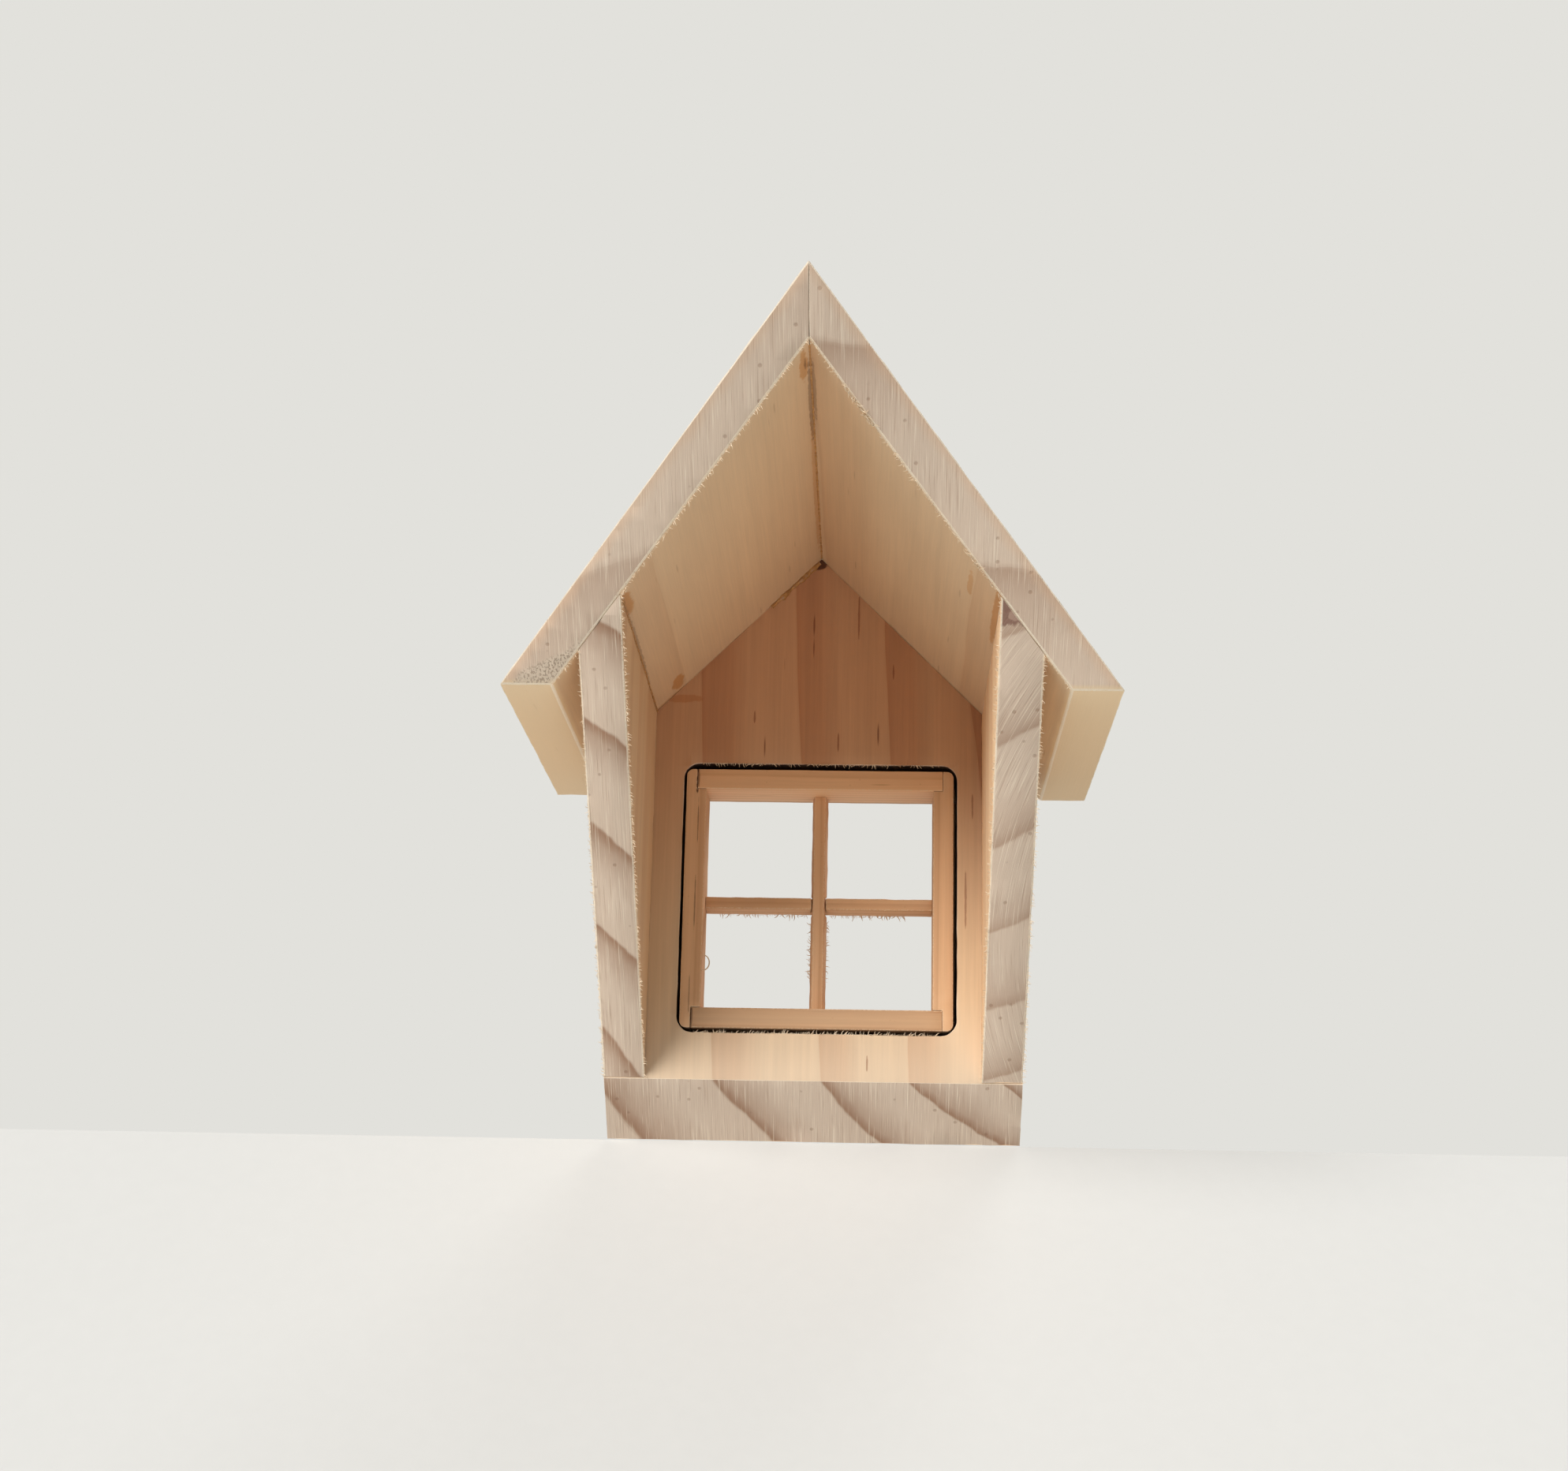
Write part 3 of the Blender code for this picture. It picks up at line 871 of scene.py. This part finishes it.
class DORMER_OT_front_wall(bpy.types.Operator):
    """Dress the house-shaped front board with its routed opening."""

    bl_idname = "dormer.front_wall"
    bl_label = "Front wall"

    # Long resin streaks on the room side: across, up, and half their length.
    resin_streaks = [
        (0.0093, 0.1185, 0.0062), (0.0047, 0.0875, 0.0028), (0.0178, 0.1050, 0.0022),
        (0.0352, 0.0500, 0.0085), (0.0368, 0.0720, 0.0040), (-0.0155, 0.0935, 0.0018),
        (0.0125, 0.0105, 0.0020),
    ]

    def execute(self, context):
        board = Board(
            "Z", pith=(0.105, -0.116), first=0.1374, width=0.0122, spread=0.102, lean=-0.058,
            contrast=0.62, tone=0.95, end_tone=0.94,
        )
        stains = [
            ((-0.0005, INSIDE_Y, GABLE_Z - 0.0010), (0.0022, 0.0030, 0.0018), 0.9, BURNT),
            ((-0.0330, INSIDE_Y, 0.0980), (0.0060, 0.0020, 0.0012), 0.5, AMBER),
        ]
        stains += [
            ((x, INSIDE_Y, z), (0.00028, 0.0015, length), 0.6, BROWN)
            for x, z, length in self.resin_streaks
        ]
        joints = [((side, 0, 1), GLUE_LINE) for side in (-1, 1)]
        dress_board(
            "front_board", "front_wall", "wall_pine", board, context.scene.dormer_pine, joints,
            stains, front_wall_painted_light_and_marks,
        )
        return {"FINISHED"}


class DORMER_OT_side_walls(bpy.types.Operator):
    """Dress the two side boards."""

    bl_idname = "dormer.side_walls"
    bl_label = "Side walls"

    def execute(self, context):
        left = Board(
            "Z", pith=(-0.1123, 0.047), first=0.0900, width=0.0157, shift=0.31, contrast=0.30,
            tone=1.03, end_tone=1.04,
        )
        right = Board(
            "Z", pith=(-0.020, -0.236), first=0.1770, width=0.0163, spread=-0.02, shift=0.77,
            saw=(0.161, 0.050), contrast=0.30, end_contrast=0.62, tone=1.15, end_tone=0.97,
        )
        walls = ((-1, "left", left, None), (1, "right", right, right_wall_painted_light_and_marks))
        for side, name, board, painted_light_and_marks in walls:
            joints = [((0, 1, 0), GLUE_LINE), ((side, 0, 1), GLUE_LINE)]
            dress_board(
                f"{name}_side_board", f"{name}_side_wall", "wall_pine", board,
                context.scene.dormer_pine, joints, painted_light_and_marks=painted_light_and_marks,
            )
        return {"FINISHED"}


class DORMER_OT_roof_boards(bpy.types.Operator):
    """Dress the two mitred roof boards."""

    bl_idname = "dormer.roof_boards"
    bl_label = "Roof boards"

    def execute(self, context):
        left = Board(
            "Y", pith=(0.0, 0.0), first=0.1077, width=0.042, shift=0.13,
            contrast=0.22, end_contrast=0.42, resin=0.22,
        )
        right = Board(
            "Y", pith=(-0.010, -0.150), first=0.2545, width=0.0292, shift=0.53,
            contrast=0.30, end_contrast=0.60, resin=0.22,
        )
        ridge, corner = GABLE_Z, SIDE_HIGH.z
        left_stains = [
            ((-INSIDE_X + 0.001, -corner + 0.008, corner), (0.0018, 0.0090, 0.0022), 0.8, AMBER),
            ((-INSIDE_X, -0.0550, corner), (0.0010, 0.0340, 0.0010), 0.35, BURNT),
            ((-0.0337, -0.0125, 0.1003), (0.0022, 0.0050, 0.0022), 0.8, AMBER),
            ((-0.0370, INSIDE_Y, 0.0970), (0.0060, 0.0014, 0.0060), 0.5, AMBER),
            ((-0.0013, -0.1240, ridge - 0.001), (0.0012, 0.0080, 0.0014), 0.7, AMBER),
            ((-0.0008, -0.1250, ridge - 0.001), (0.0005, 0.0060, 0.0006), 0.5, BURNT),
            ((-0.0004, -0.1030, ridge), (0.0006, 0.0230, 0.0008), 0.45, BURNT),
            ((-0.0006, -0.0550, ridge), (0.0006, 0.0500, 0.0008), 0.5, AMBER),
        ]
        right_stains = [
            ((INSIDE_X - 0.0005, -0.0800, corner + 0.0005), (0.0012, 0.0230, 0.0012), 0.75, AMBER),
            ((INSIDE_X - 0.0060, -0.0850, corner + 0.006), (0.0009, 0.0090, 0.0009), 0.5, AMBER),
            ((0.0006, -0.1100, ridge), (0.0006, 0.0170, 0.0008), 0.35, BURNT),
        ]
        roofs = ((-1, "left", left, left_stains), (1, "right", right, right_stains))
        for side, name, board, stains in roofs:
            dress_board(
                f"{name}_roof", f"{name}_roof_board", "roof_pine", board,
                context.scene.dormer_pine, [((-side, 0, 0), RIDGE_LINE)], stains,
                roof_painted_light_and_marks(side),
            )
        return {"FINISHED"}


class DORMER_OT_window_frame(bpy.types.Operator):
    """Dress the window's jambs, header and sill."""

    bl_idname = "dormer.window_frame"
    bl_label = "Window frame"

    def execute(self, context):
        look = context.scene.dormer_window_wood
        ends = [((1, 0, 0), STICK_LINE), ((-1, 0, 0), OPEN_SEAM)]
        # Last column, the tone: partly own wood, partly painted light lifting the shaded header and
        # jambs, darkening the lit sill.
        sticks = (
            ("window_left_jamb", "left_jamb_stick", "Z", (0.02, -0.09), (), NOTCH_LINE, 1.20),
            ("window_right_jamb", "right_jamb_stick", "Z", (-0.03, -0.08), (), NOTCH_LINE, 1.12),
            ("window_header", "header_stick", "X", (0.10, -0.07), ends, 0.0, 1.32),
            ("window_sill", "sill_stick", "X", (-0.02, -0.09), ends, 0.0, 0.90),
        )
        grain_x = JAMB_LOW.x + 0.0030
        notch = (HEADER_LOW.x - 0.0002, INSIDE_Y, HEADER_LOW.z + 0.0012)
        stains = {
            "window_left_jamb": [
                self.streak(grain_x, JAMB_HIGH.z - 0.0130, 0.0060, 0.55),
                self.streak(grain_x - 0.0002, JAMB_HIGH.z - 0.0330, 0.0080, 0.5),
                self.streak(grain_x - 0.0009, JAMB_LOW.z + 0.0080, 0.0050, 0.4),
                (notch, (0.0004, 0.0020, 0.0024), 0.85),
            ],
            "window_header": [
                self.streak(HEADER_LOW.x, HEADER_HIGH.z - 0.0020, 0.0030, 0.6, 0.0003)
            ],
            "window_sill": [self.streak(SILL_LOW.x, SILL_HIGH.z - 0.0020, 0.0030, 0.7, 0.0003)],
        }
        for number, (node, name, grain, pith, joints, notches, tone) in enumerate(sticks):
            board = Board(grain, pith, shift=0.17 * number + 0.05, tone=tone)
            dress_stick(
                name, node, "window_frame_wood", board, look, look.edge_width, joints,
                stains.get(node, ()), joint_width=0.00005, wobble=0.00005, notches=notches,
            )
        return {"FINISHED"}

    def streak(self, x, z, half_length, strength, half_width=0.0002):
        """A thin, dark, upright mark on the room side."""
        return (x, INSIDE_Y, z), (half_width, 0.0020, half_length), strength


class DORMER_OT_muntins(bpy.types.Operator):
    """Dress the two crossing bars."""

    bl_idname = "dormer.muntins"
    bl_label = "Muntins"

    def execute(self, context):
        look = context.scene.dormer_window_wood
        bars = (
            ("vertical_muntin", "post_stick", "Z", 0.4), ("horizontal_muntin", "bar_stick", "X", 0.9)
        )
        for node, name, grain, shift in bars:
            board = Board(grain, (0.03, -0.05), shift=shift, tone=1.18)
            joints = [(way_of(grain), STICK_LINE), (-way_of(grain), STICK_LINE)]
            dress_stick(
                name, node, "muntin_wood", board, look, look.bar_edge, joints,
                wobble=0.00010, step=0.0014,
            )
        return {"FINISHED"}


class DORMER_OT_casings(bpy.types.Operator):
    """Dress the trim on the street side."""

    bl_idname = "dormer.casings"
    bl_label = "Casings"

    def execute(self, context):
        look = context.scene.dormer_window_wood
        trims = (
            ("left_casing", "left_trim", "Z"), ("right_casing", "right_trim", "Z"),
            ("head_casing", "head_trim", "X"), ("outer_sill", "sill_trim", "X"),
        )
        for number, (node, name, grain) in enumerate(trims):
            board = Board(grain, (0.09, 0.12), shift=0.23 * number + 0.6)
            dress_stick(name, node, "casing_wood", board, look, look.trim_edge)
        return {"FINISHED"}


class DORMER_OT_glue(bpy.types.Operator):
    """Lay the glue that was squeezed out of the joints."""

    bl_idname = "dormer.glue"
    bl_label = "Glue"

    def execute(self, context):
        look = context.scene.dormer_glue
        down = (0, 0, -1)
        ridge = GABLE_Z + 0.0003
        corner = SIDE_HIGH.z - 0.0002
        back = INSIDE_Y - 0.001
        gable_top, gable_end = 0.0005, 0.0120
        runs = [
            ([(0, -ridge + 0.003, ridge), (0, back, ridge)], down, 0.60),
            ([(-INSIDE_X, -corner + 0.001, corner), (-INSIDE_X, back, corner)], down, 0.42),
            ([(-x, INSIDE_Y, GABLE_Z - x - 0.0002) for x in (gable_top, gable_end)], down, 1.5),
        ]
        values = {"Radius": look.bead, "Material": glue_material(look)}
        keep(bead_tree().run(wire_object("joint_glue", runs), values), "shell", "roof_pine")
        return {"FINISHED"}


class DORMER_OT_fibres(bpy.types.Operator):
    """Stand loose fibres along the sawn and routed edges, and one curled shaving."""

    bl_idname = "dormer.fibres"
    bl_label = "Fibres"

    def execute(self, context):
        look = context.scene.dormer_fibres
        material = fibre_material(context.scene.dormer_pine)
        values = {
            "Spacing": look.spacing, "Length": look.length, "Radius": look.radius,
            "Seed": look.seed, "Material": material,
        }
        tree = fibre_tree()
        boards = tree.run(wire_object("board_fibres", self.board_runs()), values)
        keep(boards, "shell", "wall_pine")
        window = tree.run(wire_object("window_fibres", self.window_runs()), values)
        keep(window, "window", "muntin_wood")
        root = Vector((BAR_LOW.x - 0.0004, INSIDE_Y + 0.0009, JAMB_LOW.z + 0.0140))
        shaving = curled_shaving("jamb_shaving", root, 0.0011, 0.0026, 0.0004, 0.00028, material)
        keep(shaving, "window", "window_frame_wood")
        return {"FINISHED"}

    def board_runs(self):
        """Sawn edges of the boards, and the routed opening's top and bottom edges."""
        top, foot = SIDE_HIGH.z, SIDE_LOW.z
        outer_top = GABLE_Z - WALL_HIGH.x
        eave_x = GABLE_Z - EAVE_Z + 0.0003
        runs = []
        for side in (-1, 1):
            ridge = (side * 0.0003, -GABLE_Z, GABLE_Z)
            meet = (side * INSIDE_X, -top, top)
            outside = (side * WALL_HIGH.x, -outer_top, outer_top)
            eave = (side * eave_x, -EAVE_Z, EAVE_Z)
            runs += [
                ([ridge, meet], (-side * 0.4, -1, -1), 0.85),
                ([outside, eave], (-side * 0.4, -1, -1), 0.75),
                ([meet, (side * INSIDE_X, -foot, foot)], (-side, -0.7, -0.2), 0.7),
                ([outside, (side * WALL_HIGH.x, -foot, foot)], (side, -0.7, -0.2), 0.7),
            ]
        for start, end in ((0.0070, 0.0125), (0.0320, 0.0350)):
            torn = [(x, -GABLE_Z + x, GABLE_Z - x) for x in (start, end)]
            runs += [(torn, (-0.6, -1, -0.4), 1.35), (torn, (0.2, -1, -1), 1.1)]
        left, right = FRAME_LOW.x + 0.0035, FRAME_HIGH.x - 0.0035
        for height, lean in ((FRAME_LOW.z - 0.0011, 1), (FRAME_HIGH.z + 0.0014, -1)):
            runs.append(([(x, INSIDE_Y, height) for x in (left, right)], (0, -0.4, lean), 0.8))
        return runs

    def window_runs(self):
        """Lower edges of the level bar, and the upright bar's edges below the crossing."""
        middle = (POST_LOW.x + POST_HIGH.x) / 2
        low, high = POST_LOW.z + 0.008, BAR_LOW.z - 0.002
        spans = ((BAR_LOW.x + 0.003, middle - 0.003), (middle + 0.0025, BAR_HIGH.x - 0.006))
        runs = [([(x, BAR_HIGH.y, BAR_LOW.z) for x in span], (0, -0.3, -1), 1.05) for span in spans]
        for side, x in ((-1, POST_LOW.x), (1, POST_HIGH.x)):
            runs.append(([(x, POST_HIGH.y, z) for z in (low, high)], (side, -0.3, 0), 0.9))
        return runs


class DORMER_OT_stage(bpy.types.Operator):
    """Set the floor, the light and the camera."""

    bl_idname = "dormer.stage"
    bl_label = "Stage"

    def execute(self, context):
        look = context.scene.dormer_stage
        self.floor(look)
        self.world(context, look)
        lights = {
            "overhead": (look.key, (-0.66, -1.0, 0.68), 32),
            "back_fill": (look.fill, (0.10, -0.75, -0.64), 60),
            "street": (look.front, (0.35, 0.60, 0.75), 32),
        }
        for name, (strength, way, spread) in lights.items():
            self.light(name, strength, Vector(way), math.radians(spread))
        self.camera(context, look)
        return {"FINISHED"}

    def floor(self, look):
        """A pale table: level in front of the window, falling away behind the sharp foot."""
        reach, clearance = 3.0, 0.0002
        fall = reach * SQUARE
        edge_y, crest = WALL_HIGH.y, WALL_LOW.z - clearance
        profile = [(edge_y + reach, crest), (edge_y, crest), (edge_y - fall, crest - fall)]
        bm = bmesh.new()
        left, right = [[bm.verts.new((x, y, z)) for y, z in profile] for x in (-reach, reach)]
        for row in (0, 1):
            bm.faces.new((left[row], left[row + 1], right[row + 1], right[row]))
        new_object("table", bm, table_material(look))

    def world(self, context, look):
        """The pale room: seen at its full brightness, but lighting the dormer only a little."""
        world = bpy.data.worlds.new("pale room")
        world.use_nodes = True
        graph = Graph(world.node_tree)
        graph.tree.nodes.remove(graph.tree.nodes["Background"])
        colour = (*look.backdrop, 1.0)
        light = graph.add("ShaderNodeBackground", sockets=(colour, look.ambient))
        wall = graph.add("ShaderNodeBackground", sockets=(colour, 1.0))
        seen = graph.add("ShaderNodeLightPath", output="Is Camera Ray")
        mixed = graph.add("ShaderNodeMixShader", sockets=(seen, light, wall))
        graph.connect(mixed, graph.tree.nodes["World Output"].inputs["Surface"])
        context.scene.world = world
        context.scene.view_settings.view_transform = "Standard"

    def light(self, name, strength, way, spread):
        """A broad, even light that comes from that way. Its spread softens the shadows."""
        data = bpy.data.lights.new(name, "SUN")
        data.energy = strength
        data.angle = spread
        lamp = bpy.data.objects.new(name, data)
        lamp.rotation_mode = "QUATERNION"
        lamp.rotation_quaternion = way.to_track_quat("Z", "Y")
        bpy.context.scene.collection.objects.link(lamp)

    def camera(self, context, look):
        data = bpy.data.cameras.new("camera")
        data.lens = look.lens
        data.sensor_width = 36.0
        data.clip_start = 0.01
        camera = bpy.data.objects.new("camera", data)
        turned = Matrix.Rotation(look.yaw, 4, "Z")
        raised = Matrix.Rotation(math.radians(90) + look.pitch, 4, "X")
        rolled = Matrix.Rotation(look.roll, 4, "Z")
        camera.matrix_world = Matrix.Translation(look.eye) @ turned @ raised @ rolled
        context.scene.collection.objects.link(camera)
        context.scene.camera = camera


STEPS = (
    DORMER_OT_stage, DORMER_OT_front_wall, DORMER_OT_side_walls, DORMER_OT_roof_boards,
    DORMER_OT_window_frame, DORMER_OT_muntins, DORMER_OT_casings, DORMER_OT_glue,
    DORMER_OT_fibres,
)
SETTINGS = {
    "dormer_pine": DormerPine, "dormer_window_wood": DormerWindowWood,
    "dormer_glue": DormerGlue, "dormer_fibres": DormerFibres, "dormer_stage": DormerStage,
}


class DORMER_PT_steps(bpy.types.Panel):
    """Lists the steps and their settings."""

    bl_idname = "DORMER_PT_steps"
    bl_label = "Dormer"
    bl_space_type = "VIEW_3D"
    bl_region_type = "UI"
    bl_category = "Dormer"

    def draw(self, context):
        for step in STEPS:
            self.layout.operator(step.bl_idname)
        for name, group in SETTINGS.items():
            box = self.layout.box()
            for value in group.__annotations__:
                box.prop(getattr(context.scene, name), value)


def register():
    for kind in (*SETTINGS.values(), *STEPS, DORMER_PT_steps):
        bpy.utils.register_class(kind)
    for name, group in SETTINGS.items():
        setattr(bpy.types.Scene, name, PointerProperty(type=group))


def unregister():
    for name in SETTINGS:
        delattr(bpy.types.Scene, name)
    for kind in (DORMER_PT_steps, *reversed(STEPS), *SETTINGS.values()):
        bpy.utils.unregister_class(kind)


def main():
    register()
    for step in STEPS:
        group, name = step.bl_idname.split(".")
        getattr(getattr(bpy.ops, group), name)()


if __name__ == "__main__":
    main()
